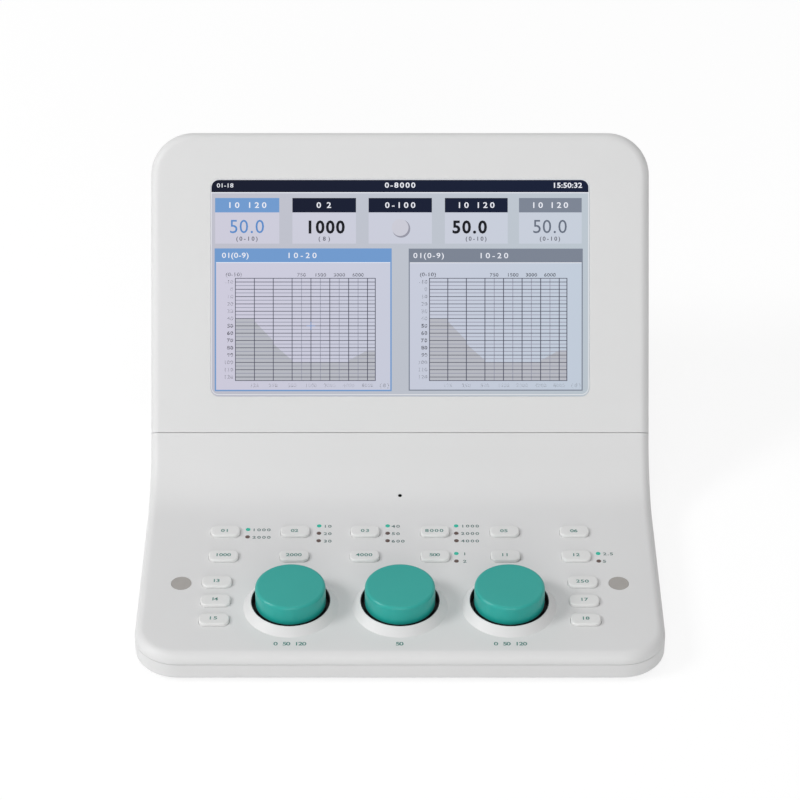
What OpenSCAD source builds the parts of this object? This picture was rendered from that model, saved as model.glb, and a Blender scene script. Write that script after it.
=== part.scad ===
// Desk audiometer: a low control deck with three level dials and eighteen keys that sweeps up
// into a leaning screen head. Millimetres. The model is laid out with y = 0 at the front wall and
// z = 0 on the table, and every piece is then shifted so that the origin is under the middle.

/* [Housing] */
// Width of the housing
body_w = 292.6; // [286:0.2:310]
// Flat length of the deck, from the front wall to where the sweep starts
deck_l = 125; // [122:0.5:138]
// Gap that the feet leave under the tray
foot_h = 2; // [1.5:0.1:4]
// Height of the tray's upright wall
tray_h = 10.2; // [10:0.1:14]
// Height of the deck above the tray seam
lip_h = 6.5; // [6:0.1:9]
// Radius of the concave sweep between deck and screen
sweep_r = 54; // [48:1:66]
// Distance from the start of the sweep to the upright rear wall
rear_l = 115; // [109:1:131]
// Radius of the hollow bend between rear wall and the back of the head
back_r = 30; // [20:1:40]
// Corner radius of the deck and of the head
corner_r = 25; // [18:0.5:32]
// Rounding along the long outer edges
edge_r = 5.5; // [4:0.1:6]
// Rounding along the tray's lower edge
tray_edge_r = 2; // [1:0.1:3]
// Wall thickness of the mouldings
wall = 2.5; // [2.2:0.1:2.8]
// Visible gap along every parting line
seam_gap = 0.3; // [0.2:0.05:0.5]

/* [Screen head] */
// Slope of the screen above the table, in degrees
screen_tilt = 54.7; // [50:0.1:60]
// Length of the screen face, from the cross seam to the top edge
head_l = 176; // [173:0.5:196]
// Thickness of the head
head_t = 26; // [24:0.5:34]
// Depth of the front frame, from its face to the parting line
frame_d = 12; // [11:0.5:15]
// Height of the cross seam above the deck
seam_rise = 24.6; // [22:0.1:27]
// Fall of the side seam below level, in degrees
seam_fall = 43; // [38:1:50]
// Width of the screen window
window_w = 222.3; // [214:0.1:228]
// Height of the screen window
window_h = 127.5; // [120:0.1:132]
// Height of the window above the cross seam
window_rise = 21.2; // [19:0.1:28]
// Corner radius of the window
window_r = 5; // [3:0.5:8]
// Thickness of the touch panel
glass_t = 1.6; // [1:0.1:1.8]

/* [Dials] */
// Diameter of a dial knob
knob_d = 39; // [34:0.5:42]
// Height of a knob above the deck
knob_h = 15.3; // [13:0.1:20]
// Spacing of the knobs
knob_pitch = 60.6; // [58:0.2:62]
// Distance of the knobs from the front wall
knob_y = 41.6; // [40:0.2:43]
// Ring gap between a knob and its collar
knob_gap = 2.5; // [1.5:0.1:3]
// Height of the sloping collar round each knob
collar_h = 4.5; // [3:0.1:6]
// Width of the collar's slope
collar_w = 4.4; // [3:0.1:5]
// Rounding of a knob's upper edge
knob_edge_r = 1.8; // [1:0.1:3]
// Diameter of the dial shafts
shaft_d = 6; // [5:0.1:6.2]

/* [Keys] */
// Width of a key
key_w = 16.8; // [14:0.2:18]
// Depth of a key from front to back
key_d = 9.4; // [8:0.2:10]
// Corner radius of a key
key_r = 3.7; // [2.5:0.1:4.4]
// Height of a key above the deck
key_rise = 1.8; // [1.2:0.1:2.6]
// Travel of a key
key_travel = 0.8; // [0.4:0.1:1]
// Gap round a key in its hole
key_gap = 0.2; // [0.15:0.05:0.35]
// Rounding of a key's upper edge
key_edge_r = 0.9; // [0.5:0.1:1.2]
// Spacing of the keys along the two rows
key_pitch = 40; // [38:0.5:41]
// Distance of the back row from the front wall
back_row_y = 107.2; // [105:0.2:110]
// Distance of the front row from the front wall
front_row_y = 85; // [83:0.2:88]
// Distance of the side columns from the middle
column_x = 102.6; // [100:0.2:105]
// Distance of the nearest column keys from the front wall
column_y = 29.4; // [27:0.2:31]
// Spacing of the keys in a column
column_pitch = 16.3; // [15:0.1:18]

/* [Lamps and pads] */
// Diameter of an indicator lamp
lamp_d = 2.6; // [2:0.1:3]
// Distance of a lamp from the middle of its key
lamp_dx = 12; // [11.6:0.1:12.4]
// Spacing of the lamps in a stack
lamp_pitch = 6.8; // [5:0.1:7.5]
// Diameter of a touch pad
pad_d = 11.2; // [9:0.2:13]
// Distance of the touch pads from the middle
pad_x = 122.7; // [121:0.1:124]
// Distance of the touch pads from the front wall
pad_y = 61.8; // [56:0.2:70]
// Angle along the sweep of the microphone hole, in degrees
mic_angle = 15.5; // [10:0.5:22]
// Diameter of the microphone hole
mic_hole_d = 2.3; // [1.5:0.1:3]

/* [Rear connectors] */
// Bore of a phone jack for a 6.35 mm plug
jack_bore_d = 6.5; // [6.4:0.05:6.8]
// Depth of a phone jack's bore
jack_depth = 30; // [28:0.5:31]
// Spacing of the phone jacks
jack_pitch = 20; // [18:0.2:20.4]
// Width of the connector bay
bay_w = 190; // [186:1:200]
// Height of the connector bay
bay_h = 23; // [22:0.5:25]
// Thickness of the connector panel
panel_t = 1.5; // [1:0.1:2]
// Tilt of the power rocker to each side, in degrees
rocker_tilt = 8; // [5:0.5:10]

/* [Boards] */
// Thickness of the circuit boards
board_t = 1.6; // [1.2:0.1:1.8]
// Height of an encoder's body
encoder_h = 6.5; // [6:0.1:6.8]
// Thickness of the steel encoder bracket
bracket_t = 1.2; // [1:0.1:1.5]
// Height of the main board above the tray seam
main_rise = 7.8; // [7.5:0.1:10]

/* [Hidden] */
$fn = 96;
HALF_W = body_w / 2;
SEAM_Z = foot_h + tray_h;
DECK_Z = SEAM_Z + lip_h;
DECK_UNDER = DECK_Z - wall;
FLOOR_Z = foot_h + wall;
REAR_Y = deck_l + rear_l;
// The rear wall stands back by a hair, so that its turned and straight faces never nearly touch
HAIR = 0.02;
CS = cos(screen_tilt);
SN = sin(screen_tilt);
// The cross seam lies where the sweep has risen that far
SWEEP_A = acos(1 - seam_rise / sweep_r);
SEAM_POINT = [deck_l + sweep_r * sin(SWEEP_A), DECK_Z + seam_rise];
// Depth of the rounded outer band of the swept parts, and of the plain core inside it
BAND = 14;
CORE = 9;

// A point of the side view, s up the screen face from the seam and n in front of the face
function on_screen(s, n) = SEAM_POINT + s * [CS, SN] + n * [-SN, CS];
// and back from the side view
function to_screen(p) = [(p - SEAM_POINT) * [CS, SN], (p - SEAM_POINT) * [-SN, CS]];

// Height of the deck or of the sweep at y, less a depth inside the skin
function skin_z(y, depth) = y <= deck_l ? DECK_Z - depth
    : DECK_Z + sweep_r - sqrt(pow(sweep_r + depth, 2) - pow(y - deck_l, 2));

// Where the back of the head would meet the rear wall, and the bend that blends them
BACK_S = (REAR_Y - SEAM_POINT.x - head_t * SN) / CS;
BACK_TANGENT = back_r * tan((90 - screen_tilt) / 2);
BEND_S = round(1000 * (BACK_S + BACK_TANGENT)) / 1000;
BEND_Z = on_screen(BACK_S, -head_t).y - BACK_TANGENT;

// The rearmost point is on the rounded upper back edge of the head
DEPTH = on_screen(head_l - edge_r, -(head_t - edge_r)).x + edge_r;

// The cross seam: a plane that falls backwards from the screen face to the tray seam
SEAM_DIR = [cos(seam_fall), -sin(seam_fall)];
SEAM_NORMAL = [sin(seam_fall), cos(seam_fall)];
function seam_line(k, side) = SEAM_POINT + k * SEAM_DIR + side * seam_gap / 2 * SEAM_NORMAL;
function seam_foot(side) =
    (SEAM_POINT.y + side * seam_gap / 2 * SEAM_NORMAL.y - SEAM_Z - seam_gap / 2) / sin(seam_fall);
function seam_part(side, n) =
    (n - side * seam_gap / 2 * (SEAM_NORMAL * [-SN, CS])) / (SEAM_DIR * [-SN, CS]);

// Dials
KNOB_R = knob_d / 2;
OPENING_R = KNOB_R + knob_gap;
KNOB_TOP = DECK_Z + knob_h;
KNOB_SKIRT_Z = DECK_Z - 1.2;
KNOB_SKIN = 2;
HUB_R = 5.5;
SHAFT_R = shaft_d / 2;
RUNNING_FIT = 0.05;
PRESS_FIT = 0.01;
BUSH_R = 3.5 + max(0, SHAFT_R - 3);
BUSH_TOP = DECK_UNDER + 4;
NUT_T = 2;
ENCODER_W = 13;
KNOBS = ["left", "centre", "right"];
function knob_x(i) = (i - 1) * knob_pitch;

// Keys
FLANGE_W = 0.9;
FLANGE_T = 1;
STEM_R = 1.6;
BOARD_TOP = DECK_UNDER - bracket_t - encoder_h;
SWITCH_W = 6;
SWITCH_H = 3.5;
ROW_KEYS = 6;
COLUMN_KEYS = 3;
KEYS = concat(
    [for (i = [0:ROW_KEYS - 1]) [str("key_back_", i + 1), (i - 2.5) * key_pitch, back_row_y]],
    [for (i = [0:ROW_KEYS - 1]) [str("key_front_", i + 1), (i - 2.5) * key_pitch, front_row_y]],
    [for (i = [0:COLUMN_KEYS - 1]) [str("key_left_", i + 1), -column_x, column_y + i * column_pitch]],
    [for (i = [0:COLUMN_KEYS - 1]) [str("key_right_", i + 1), column_x, column_y + i * column_pitch]]
);

// Lamps: each stack stands beside a key, as [key, middle of the stack behind it, lamps, extra distance]
LAMP_R = lamp_d / 2;
LAMP_FIT = 0.05;
LAMP_COLLAR_R = LAMP_R + 0.7;
LAMP_X = max(lamp_dx, key_w / 2 + FLANGE_W + LAMP_COLLAR_R + 0.2);
LAMP_STACKS = [
    [0, -0.5, 2, 0.7],
    [1, -0.6, 3, 1.5],
    [2, -0.6, 3, 0.9],
    [3, -0.6, 3, 0.3],
    [9, -0.2, 2, 0],
    [11, -0.2, 2, 0.6]
];
function lamp_at(stack, i) = [
    KEYS[stack[0]].y + LAMP_X + stack[3],
    KEYS[stack[0]].z + stack[1] + ((stack[2] - 1) / 2 - i) * lamp_pitch
];
LAMPS_LIT = [for (s = LAMP_STACKS) lamp_at(s, 0)];
LAMPS_DARK = [for (s = LAMP_STACKS) for (i = [1:s[2] - 1]) lamp_at(s, i)];

// Screws: clearance holes, pilot holes and shanks of the M3 screws
SCREW_R = 1.45;
PILOT_R = 1.5;
CLEAR_R = 1.7;
HEAD_R = 2.8;
HEAD_T = 1.8;
SINK_R = 3.2;
PILLAR_R = 4;
// Tray pillars that carry the deck cover, and those that carry the rear housing
COVER_SCREWS = [
    for (x = [-1, 1], y = [30, 90, deck_l + 20]) [x * (HALF_W - 14), y],
    for (x = [-1, 1]) [x * 45, 8.7]
];
REAR_SCREWS = [for (x = [-1, 1]) [x * (HALF_W - 14), REAR_Y - 18]];
PILLAR_TOP = SEAM_Z - 2.2;
SCREW_SEAT = PILLAR_TOP - 2;
// Screws through the back of the head, as [x, height up the screen face]
HEAD_SCREWS = [
    for (x = [-1, 1], s = [max(BEND_S + 8, 108.5), head_l - corner_r - 8]) [x * (HALF_W - 8.6), s],
    for (x = [-1, 1]) [x * 60, head_l - 9.5]
];
HEAD_BOSS_R = 3.6;
HEAD_PILLAR_R = 5;
HEAD_JOIN_N = -16;
HEAD_SEAT_N = -(head_t - 6);

// Display
LCD_W = window_w + 12.7;
LCD_H = window_h + 15.5;
LCD_T = 5.5;
LCD_N = -(wall + 0.2);
LCD_S = window_rise + window_h / 2;
LEDGE = 1.5;
RAIL_T = 1.2;
RAIL_X = [LCD_W / 2 - 7.5, LCD_W / 2 + 1];
RAIL_SCREW_X = LCD_W / 2 + 6;
RAIL_SCREWS_S = [LCD_S - 45, LCD_S + 45];
DRIVER_W = 110;
DRIVER_H = 56;
DRIVER_S = LCD_S + 4;
DRIVER_N = LCD_N - LCD_T - 4;

// Key board, fixed to bosses under the deck
KEY_BOARD_X = HALF_W - 18.6;
KEY_BOARD_Y = [14.5, back_row_y + 12.8];
ROW_MID_Y = (back_row_y + front_row_y) / 2;
BOARD_BOSSES = concat(
    [for (x = [-2, 0, 2]) [x * key_pitch, ROW_MID_Y]],
    [for (x = [-1, 1]) [x * key_pitch, front_row_y - 12]],
    [for (x = [-1, 1]) [x * (column_x + 12.5), column_y - 10.5]]
);
BOSS_R = 3;
BRACKET_X = knob_pitch + OPENING_R + 5;
BRACKET_D = 2 * OPENING_R + 7;
STAKE_R = 1.5;
STAKES = [for (x = [-1, 1], y = [-1, 1]) [x * (BRACKET_X - 3), knob_y + y * (BRACKET_D / 2 - 4)]];

// Main board and rear connectors
MAIN_Z = SEAM_Z + main_rise;
MAIN_TOP = MAIN_Z + board_t;
MAIN_X = HALF_W - 28;
MAIN_Y = [REAR_Y - 79, REAR_Y - wall - panel_t - 4];
DISPLAY_SOCKET_Y = REAR_Y - 50;
MAIN_POSTS = [
    for (x = [-1, 1], y = [MAIN_Y[0] + 5, REAR_Y - 14]) [x * (MAIN_X - 5), y],
    [0, MAIN_Y[0] + 11]
];
PANEL_Y = REAR_Y - wall - HAIR;
JACK_Y = PANEL_Y - panel_t;
JACK_W = 16;
JACK_H = 17;
AXIS_Z = MAIN_TOP + JACK_H / 2;
JACK_R = jack_bore_d / 2;
// Wide holes in the panel that leave the plugs' shoulders free
JACK_HOLE_R = JACK_R + 2.25;
JACKS = 6;
function jack_x(i) = -bay_w / 2 + 12 + i * jack_pitch;
LAST_JACK = jack_x(JACKS - 1) + JACK_W / 2;
// The other three connectors share what the jacks leave of the bay
USB_W = 12;
DC_W = 9;
ROCKER_W = 15.4;
CONNECTOR_GAP = (bay_w / 2 - LAST_JACK - USB_W - DC_W - ROCKER_W) / 4;
USB_X = LAST_JACK + CONNECTOR_GAP + USB_W / 2;
DC_X = USB_X + USB_W / 2 + CONNECTOR_GAP + DC_W / 2;
ROCKER_X = DC_X + DC_W / 2 + CONNECTOR_GAP + ROCKER_W / 2;
ROCKER_PIVOT_Y = PANEL_Y - 3.5;
AXLE_R = 1;
PANEL_SCREWS = [for (x = [-1, 1], z = [-1, 1]) [x * (bay_w / 2 + 5), AXIS_Z + z * (bay_h / 2 - 4)]];

// Speaker and feet
SPEAKER = [-75, REAR_Y - 55];
SPEAKER_R = 18;
SPEAKER_H = 10;
FEET = [for (x = [-1, 1], y = [28, REAR_Y - 22]) [x * (HALF_W - 28.3), y]];
FOOT_R = 7;
FOOT_SEAT = 1;

// ---- Profiles and placing ----

// Quarter disc in the first quadrant
module quarter(r) {
    intersection() {
        circle(r);
        square(r);
    }
}

// Strip from x = 0 to l and from z0 to z1, its outer end rounded rt above and rb below
module strip_profile(l, z0, z1, rt, rb) {
    lower = rb > 0 ? [[l - rb, z0], [l - rb, z0 + rb], [l, z0 + rb]] : [[l, z0]];
    upper = rt > 0 ? [[l, z1 - rt], [l - rt, z1 - rt], [l - rt, z1]] : [[l, z1]];
    polygon(concat([[0, z0]], lower, upper, [[0, z1]]));
    if (rt > 0)
        translate([l - rt, z1 - rt])
            quarter(rt);
    if (rb > 0)
        translate([l - rb, z0 + rb])
            mirror([0, 1])
                quarter(rb);
}

// The same strip to both sides of x = 0
module wide_profile(w, z0, z1, rt, rb) {
    for (m = [0, 1])
        mirror([m, 0])
            strip_profile(w, z0, z1, rt, rb);
}

// Rectangle with rounded corners about the origin; with r = d / 2 its ends are half round
module rounded_rect(w, d, r) {
    if (d > 2 * r)
        square([w, d - 2 * r], center = true);
    square([w - 2 * r, d], center = true);
    for (mx = [0, 1], my = [0, 1])
        mirror([mx, 0])
            mirror([0, my])
                translate([w / 2 - r, d / 2 - r])
                    quarter(r);
}

module rounded_box(w, d, r, h) {
    linear_extrude(h)
        rounded_rect(w, d, r);
}

// Profile in x and z, drawn out from y0 to y1
module along_y(y0, y1) {
    translate([0, y1, 0])
        rotate([90, 0, 0])
            linear_extrude(y1 - y0)
                children();
}

// Profile in y and z, drawn out from x0 to x1
module along_x(x0, x1) {
    translate([x0, 0, 0])
        rotate([90, 0, 90])
            linear_extrude(x1 - x0)
                children();
}

// Frame of the screen face: x across, y up the face from the seam, z out of it
module at_screen() {
    translate([0, SEAM_POINT.x, SEAM_POINT.y])
        rotate([screen_tilt, 0, 0])
            children();
}

// Upright frame at a point of the deck plan
module at(p, z = 0) {
    translate([p.x, p.y, z])
        children();
}

module mirrored() {
    for (m = [0, 1])
        mirror([m, 0, 0])
            children();
}

// Straight front edge with its two round corners
module front_end(i, z0, z1, rt, rb) {
    translate([0, corner_r, 0])
        mirror([0, 1, 0]) {
            along_x(-(HALF_W - corner_r), HALF_W - corner_r)
                strip_profile(corner_r - i, z0, z1, rt, rb);
            mirrored()
                translate([HALF_W - corner_r, 0, 0])
                    rotate_extrude(angle = 90)
                        strip_profile(corner_r - i, z0, z1, rt, rb);
        }
}

// ---- Housing ----

// Deck and sweep, from the tray seam up and beyond the cross seam, with all faces moved in by i
module deck_body(i) {
    w = HALF_W - i;
    low = SEAM_Z - 2 - i;
    over = 6;
    foot = acos((sweep_r + lip_h + 2) / (sweep_r + BAND - 1));
    far = deck_l + (sweep_r + CORE) * sin(SWEEP_A + over / 2);
    front_end(i, low, DECK_Z - i, edge_r - i, 0);
    along_y(corner_r, deck_l)
        wide_profile(w, low, DECK_Z - i, edge_r - i, 0);
    translate([0, deck_l, DECK_Z + sweep_r])
        rotate([0, 90, 0])
            bend_band(w, sweep_r, SWEEP_A + over, i);
    along_x(-w, w)
        polygon([
            [deck_l + (sweep_r + BAND - 1) * sin(foot), low],
            [far, DECK_Z + sweep_r - (sweep_r + CORE) * cos(SWEEP_A + over / 2)],
            [far + 60, low + 40],
            [far + 60, low]
        ]);
}

// The leaning head, the hollow bend behind it and the upright rear wall, in the screen's frame
module head_body(i) {
    w = HALF_W - i;
    r = edge_r - i;
    low = SEAM_Z - 2 - i;
    back = -(head_t - i);
    under = -8;
    at_screen() {
        along_y(under, BEND_S)
            wide_profile(w, -BAND - i, -i, r, 0);
        along_y(BEND_S, head_l - corner_r)
            wide_profile(w, back, -i, r, r);
        translate([0, head_l - corner_r, 0]) {
            along_x(-(HALF_W - corner_r), HALF_W - corner_r)
                strip_profile(corner_r - i, back, -i, r, r);
            mirrored()
                translate([HALF_W - corner_r, 0, 0])
                    rotate_extrude(angle = 90)
                        strip_profile(corner_r - i, back, -i, r, r);
        }
        translate([0, BEND_S, -head_t - back_r]) {
            rotate([180, -90, 0])
                bend_band(w, back_r, 90 - screen_tilt, i);
            rotate([90 - screen_tilt, 0, 0])
                along_y(low - 1 - BEND_Z, 1)
                    wide_profile(w - HAIR, back_r + i + HAIR, back_r + BAND + i, 0, r);
        }
        along_x(-w, w)
            polygon([
                [under, -CORE],
                [BEND_S, -CORE],
                [BEND_S, -(head_t - CORE)],
                to_screen([REAR_Y - CORE + 2, BEND_Z + 3]),
                to_screen([REAR_Y - CORE + 2, low]),
                to_screen([seam_line(seam_foot(0), 0).x - 12, low])
            ]);
    }
}

// Curved band of the skin, turned about Z from +X, its hollow side facing the axis
module bend_band(w, radius, angle, i) {
    rotate_extrude(angle = angle)
        translate([radius, 0])
            rotate(90)
                wide_profile(w, -BAND - i, -i, edge_r - i, 0);
}

// What lies inside an outline of the side view
module within(outline) {
    intersection() {
        children();
        along_x(-HALF_W - 1, HALF_W + 1)
            polygon(outline);
    }
}

module deck_shell() {
    difference() {
        deck_body(0);
        deck_body(wall);
    }
}

module head_shell() {
    difference() {
        head_body(0);
        head_body(wall);
    }
}

// The tray's outer or inner form, moved in by i
module tray_body(i, z0, z1, rb) {
    rc = edge_r - i;
    front_end(i, z0, z1, 0, rb);
    along_y(corner_r, REAR_Y - edge_r)
        wide_profile(HALF_W - i, z0, z1, 0, rb);
    translate([0, REAR_Y - edge_r, 0]) {
        along_x(-(HALF_W - edge_r), HALF_W - edge_r)
            strip_profile(rc, z0, z1, 0, rb);
        mirrored()
            translate([HALF_W - edge_r, 0, 0])
                rotate_extrude(angle = 90)
                    strip_profile(rc, z0, z1, 0, rb);
    }
}

// Tongue that stands up inside the shells above the seam
module tray_tongue() {
    clearance = 0.15;
    tongue_t = 1.2;
    difference() {
        tray_body(wall + clearance, SEAM_Z - 3, SEAM_Z + 1.8, 0);
        tray_body(wall + clearance + tongue_t, SEAM_Z - 4, SEAM_Z + 3, 0);
    }
    // web that ties the tongue to the wall below the seam
    difference() {
        tray_body(wall / 2, SEAM_Z - 3, SEAM_Z - 1, 0);
        tray_body(wall + clearance + tongue_t, SEAM_Z - 4, SEAM_Z, 0);
    }
}

module base_tray() {
    color([0.86, 0.86, 0.86])
        difference() {
            union() {
                difference() {
                    tray_body(0, foot_h, SEAM_Z - seam_gap / 2, tray_edge_r);
                    tray_body(wall, FLOOR_Z, SEAM_Z + 1, 0);
                }
                tray_tongue();
                for (p = concat(COVER_SCREWS, REAR_SCREWS))
                    at(p, foot_h + 1)
                        cylinder(h = PILLAR_TOP - foot_h - 1, r = PILLAR_R);
                for (p = MAIN_POSTS)
                    at(p, foot_h + 1)
                        cylinder(h = MAIN_Z - foot_h - 1, r = 3.5);
                at(SPEAKER, foot_h + 1)
                    difference() {
                        cylinder(h = wall + 5, r = SPEAKER_R + 1.8);
                        translate([0, 0, -1])
                            cylinder(h = wall + 9, r = SPEAKER_R + 0.2);
                    }
            }
            for (p = concat(COVER_SCREWS, REAR_SCREWS)) {
                at(p, foot_h - 1)
                    cylinder(h = SCREW_SEAT - foot_h + 1, r = SINK_R);
                at(p, foot_h)
                    cylinder(h = tray_h + 5, r = CLEAR_R);
            }
            for (p = MAIN_POSTS)
                at(p, MAIN_Z - 9)
                    cylinder(h = 10, r = PILOT_R);
            for (p = FEET)
                at(p, foot_h - 1)
                    cylinder(h = FOOT_SEAT + 1, r = FOOT_R + 0.1);
            speaker_slots();
            vent_slots();
        }
}

// Slots through the floor under the speaker, each as long as the cone is wide there
module speaker_slots() {
    slot_pitch = 4.2;
    slot_w = 1.8;
    for (i = [-3:3])
        at([SPEAKER.x, SPEAKER.y + i * slot_pitch], foot_h - 1)
            rounded_box(2 * sqrt(pow(SPEAKER_R - 3, 2) - pow(i * slot_pitch, 2)), slot_w, slot_w / 2, wall + 2);
}

// Two groups of cooling slots through the floor beside the speaker
module vent_slots() {
    slot_l = 24;
    slot_w = 2;
    for (x = [35, 75], i = [-3:3])
        at([x, REAR_Y - 55 + i * 5], foot_h - 1)
            rounded_box(slot_l, slot_w, slot_w / 2, wall + 2);
}

// Sloping collar round a knob opening, from inside the deck's skin up to its lip
module knob_collar() {
    lip = 0.4;
    rotate_extrude()
        polygon([
            [OPENING_R - 0.2, DECK_UNDER + 0.5],
            [OPENING_R + collar_w, DECK_UNDER + 0.5],
            [OPENING_R + collar_w, DECK_Z],
            [OPENING_R + lip, DECK_Z + collar_h],
            [OPENING_R - 0.2, DECK_Z + collar_h]
        ]);
}

module mic_place() {
    translate([0, deck_l, DECK_Z + sweep_r])
        rotate([mic_angle, 0, 0])
            children();
}

module deck_cover() {
    far = -12;
    low = SEAM_Z + seam_gap / 2;
    color([0.84, 0.84, 0.84])
        difference() {
            union() {
                within([
                    [-5, low],
                    seam_line(seam_foot(-1), -1),
                    seam_line(far, -1),
                    [-5, seam_line(far, -1).y]
                ])
                    deck_shell();
                for (i = [0:2])
                    at([knob_x(i), knob_y])
                        knob_collar();
                // bosses for the tray screws and for the key board
                for (p = COVER_SCREWS)
                    at(p, PILLAR_TOP)
                        cylinder(h = skin_z(p.y, wall - 1) - PILLAR_TOP, r = PILLAR_R - 0.6);
                for (p = BOARD_BOSSES)
                    at(p, BOARD_TOP)
                        cylinder(h = DECK_UNDER + 1 - BOARD_TOP, r = BOSS_R);
                for (p = STAKES)
                    at(p, DECK_UNDER - bracket_t - 0.6)
                        cylinder(h = bracket_t + 1.6, r = STAKE_R);
                mic_place()
                    translate([0, 0, -(sweep_r + wall + 3.5)])
                        cylinder(h = 4.5, r = 4.2);
            }
            for (i = [0:2])
                at([knob_x(i), knob_y], DECK_UNDER - 1)
                    cylinder(h = wall + collar_h + 3, r = OPENING_R);
            for (k = KEYS)
                at([k.y, k.z], DECK_UNDER - 1)
                    rounded_box(key_w + 2 * key_gap, key_d + 2 * key_gap, key_r + key_gap, wall + 2);
            for (p = concat(LAMPS_LIT, LAMPS_DARK))
                at(p, DECK_UNDER - 1)
                    cylinder(h = wall + 2, r = LAMP_R + LAMP_FIT);
            mirrored()
                at([pad_x, pad_y]) {
                    translate([0, 0, DECK_Z - 1.5])
                        cylinder(h = 3, r = pad_d / 2 + 0.15);
                    translate([0, 0, DECK_UNDER - 1])
                        cylinder(h = wall + 2, r = pad_d / 2 - 1.5);
                }
            mic_place() {
                translate([0, 0, -(sweep_r + wall + 4)])
                    cylinder(h = wall + 5, r = mic_hole_d / 2);
                translate([0, 0, -(sweep_r + wall + 4)])
                    cylinder(h = 4, r = 3.1);
            }
            for (p = COVER_SCREWS)
                at(p, PILLAR_TOP - 1)
                    cylinder(h = 6.2, r = PILOT_R);
            for (p = BOARD_BOSSES)
                at(p, BOARD_TOP - 1)
                    cylinder(h = 6.5, r = 1.1);
        }
}

module screen_frame() {
    far = -12;
    n = -frame_d + seam_gap / 2;
    color([0.87, 0.87, 0.87])
        difference() {
            union() {
                within([
                    seam_line(far, 1),
                    seam_line(seam_part(1, n), 1),
                    on_screen(head_l + 10, n),
                    on_screen(head_l + 10, 10)
                ])
                    head_shell();
                at_screen() {
                    for (p = HEAD_SCREWS)
                        at(p, HEAD_JOIN_N)
                            cylinder(h = -HEAD_JOIN_N - wall + 0.5, r = HEAD_BOSS_R);
                    for (s = RAIL_SCREWS_S)
                        mirrored()
                            translate([RAIL_SCREW_X, s, LCD_N - LCD_T])
                                cylinder(h = LCD_T + 1, r = 2.8);
                }
            }
            at_screen() {
                translate([0, LCD_S, -glass_t - 0.1])
                    rounded_box(window_w, window_h, window_r, 5);
                translate([0, LCD_S, -wall - 1])
                    rounded_box(window_w - 2 * LEDGE, window_h - 2 * LEDGE, window_r - LEDGE, 5);
                for (p = HEAD_SCREWS)
                    at(p, HEAD_JOIN_N - 1)
                        cylinder(h = 12, r = PILOT_R);
                for (s = RAIL_SCREWS_S)
                    mirrored()
                        translate([RAIL_SCREW_X, s, LCD_N - LCD_T - 1])
                            cylinder(h = 6, r = 1.1);
            }
        }
}

module rear_housing() {
    n = -frame_d - seam_gap / 2;
    low = SEAM_Z + seam_gap / 2;
    far = DEPTH + 20;
    color([0.86, 0.86, 0.86])
        difference() {
            union() {
                within([
                    seam_line(seam_part(1, n), 1),
                    seam_line(seam_foot(1), 1),
                    [far, low],
                    [far, on_screen(head_l + 10, n).y],
                    on_screen(head_l + 10, n)
                ])
                    head_shell();
                at_screen()
                    for (p = HEAD_SCREWS)
                        at(p, -head_t + 1)
                            cylinder(h = head_t - 1 + HEAD_JOIN_N, r = HEAD_PILLAR_R);
                mirrored()
                    at(REAR_SCREWS[1], PILLAR_TOP)
                        rear_boss();
            }
            at_screen()
                for (p = HEAD_SCREWS) {
                    at(p, -head_t - 1)
                        cylinder(h = 7, r = SINK_R);
                    at(p, -head_t)
                        cylinder(h = head_t, r = CLEAR_R);
                }
            for (p = REAR_SCREWS)
                at(p, PILLAR_TOP - 1)
                    cylinder(h = 10, r = PILOT_R);
            translate([0, REAR_Y + 1, AXIS_Z])
                rotate([90, 0, 0])
                    rounded_box(bay_w, bay_h, 3, wall + 2);
            for (p = PANEL_SCREWS)
                translate([p.x, REAR_Y + 1, p.y])
                    rotate([90, 0, 0])
                        cylinder(h = wall + 2, r = CLEAR_R);
            head_vents();
        }
}

// Boss for a tray screw, with the rib that ties it to the side wall above the tongue
module rear_boss() {
    boss_h = 14;
    rib_t = 2;
    rib_z = SEAM_Z + 3 - PILLAR_TOP;
    cylinder(h = boss_h, r = PILLAR_R - 0.6);
    translate([2, -rib_t / 2, rib_z])
        cube([HALF_W - wall / 2 - REAR_SCREWS[1].x - 2, rib_t, boss_h - rib_z]);
}

// Row of upright cooling slots through the upper back of the head
module head_vents() {
    slots = 17;
    slot_pitch = 6;
    slot_l = 22;
    slot_w = 2.2;
    at_screen()
        for (i = [0:slots - 1])
            translate([(i - (slots - 1) / 2) * slot_pitch, head_l - 42, -head_t - 1])
                rotate(90)
                    rounded_box(slot_l, slot_w, slot_w / 2, wall + 2);
}

module rubber_feet() {
    color([0.16, 0.16, 0.17])
        for (p = FEET)
            at(p)
                cylinder(h = foot_h + FOOT_SEAT, r = FOOT_R);
}

// Pan-head screw: seat at z = 0, shank up, head down
module screw(length) {
    cylinder(h = length, r = SCREW_R);
    translate([0, 0, -HEAD_T])
        difference() {
            cylinder(h = HEAD_T, r = HEAD_R);
            translate([0, 0, -0.1])
                cylinder(h = 1.1, r = 1.4, $fn = 6);
        }
}

module housing_screws() {
    color([0.55, 0.55, 0.57])
        for (p = concat(COVER_SCREWS, REAR_SCREWS))
            at(p, SCREW_SEAT)
                screw(6.5);
}

module head_screws() {
    color([0.55, 0.55, 0.57])
        at_screen()
            for (p = HEAD_SCREWS)
                at(p, HEAD_SEAT_N)
                    screw(13);
}

// ---- Display ----

module touch_panel() {
    fit = 0.15;
    color([0.80, 0.80, 0.86])
        at_screen()
            translate([0, LCD_S, -glass_t - 0.1])
                rounded_box(window_w - 2 * fit, window_h - 2 * fit, window_r - fit, glass_t);
}

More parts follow.
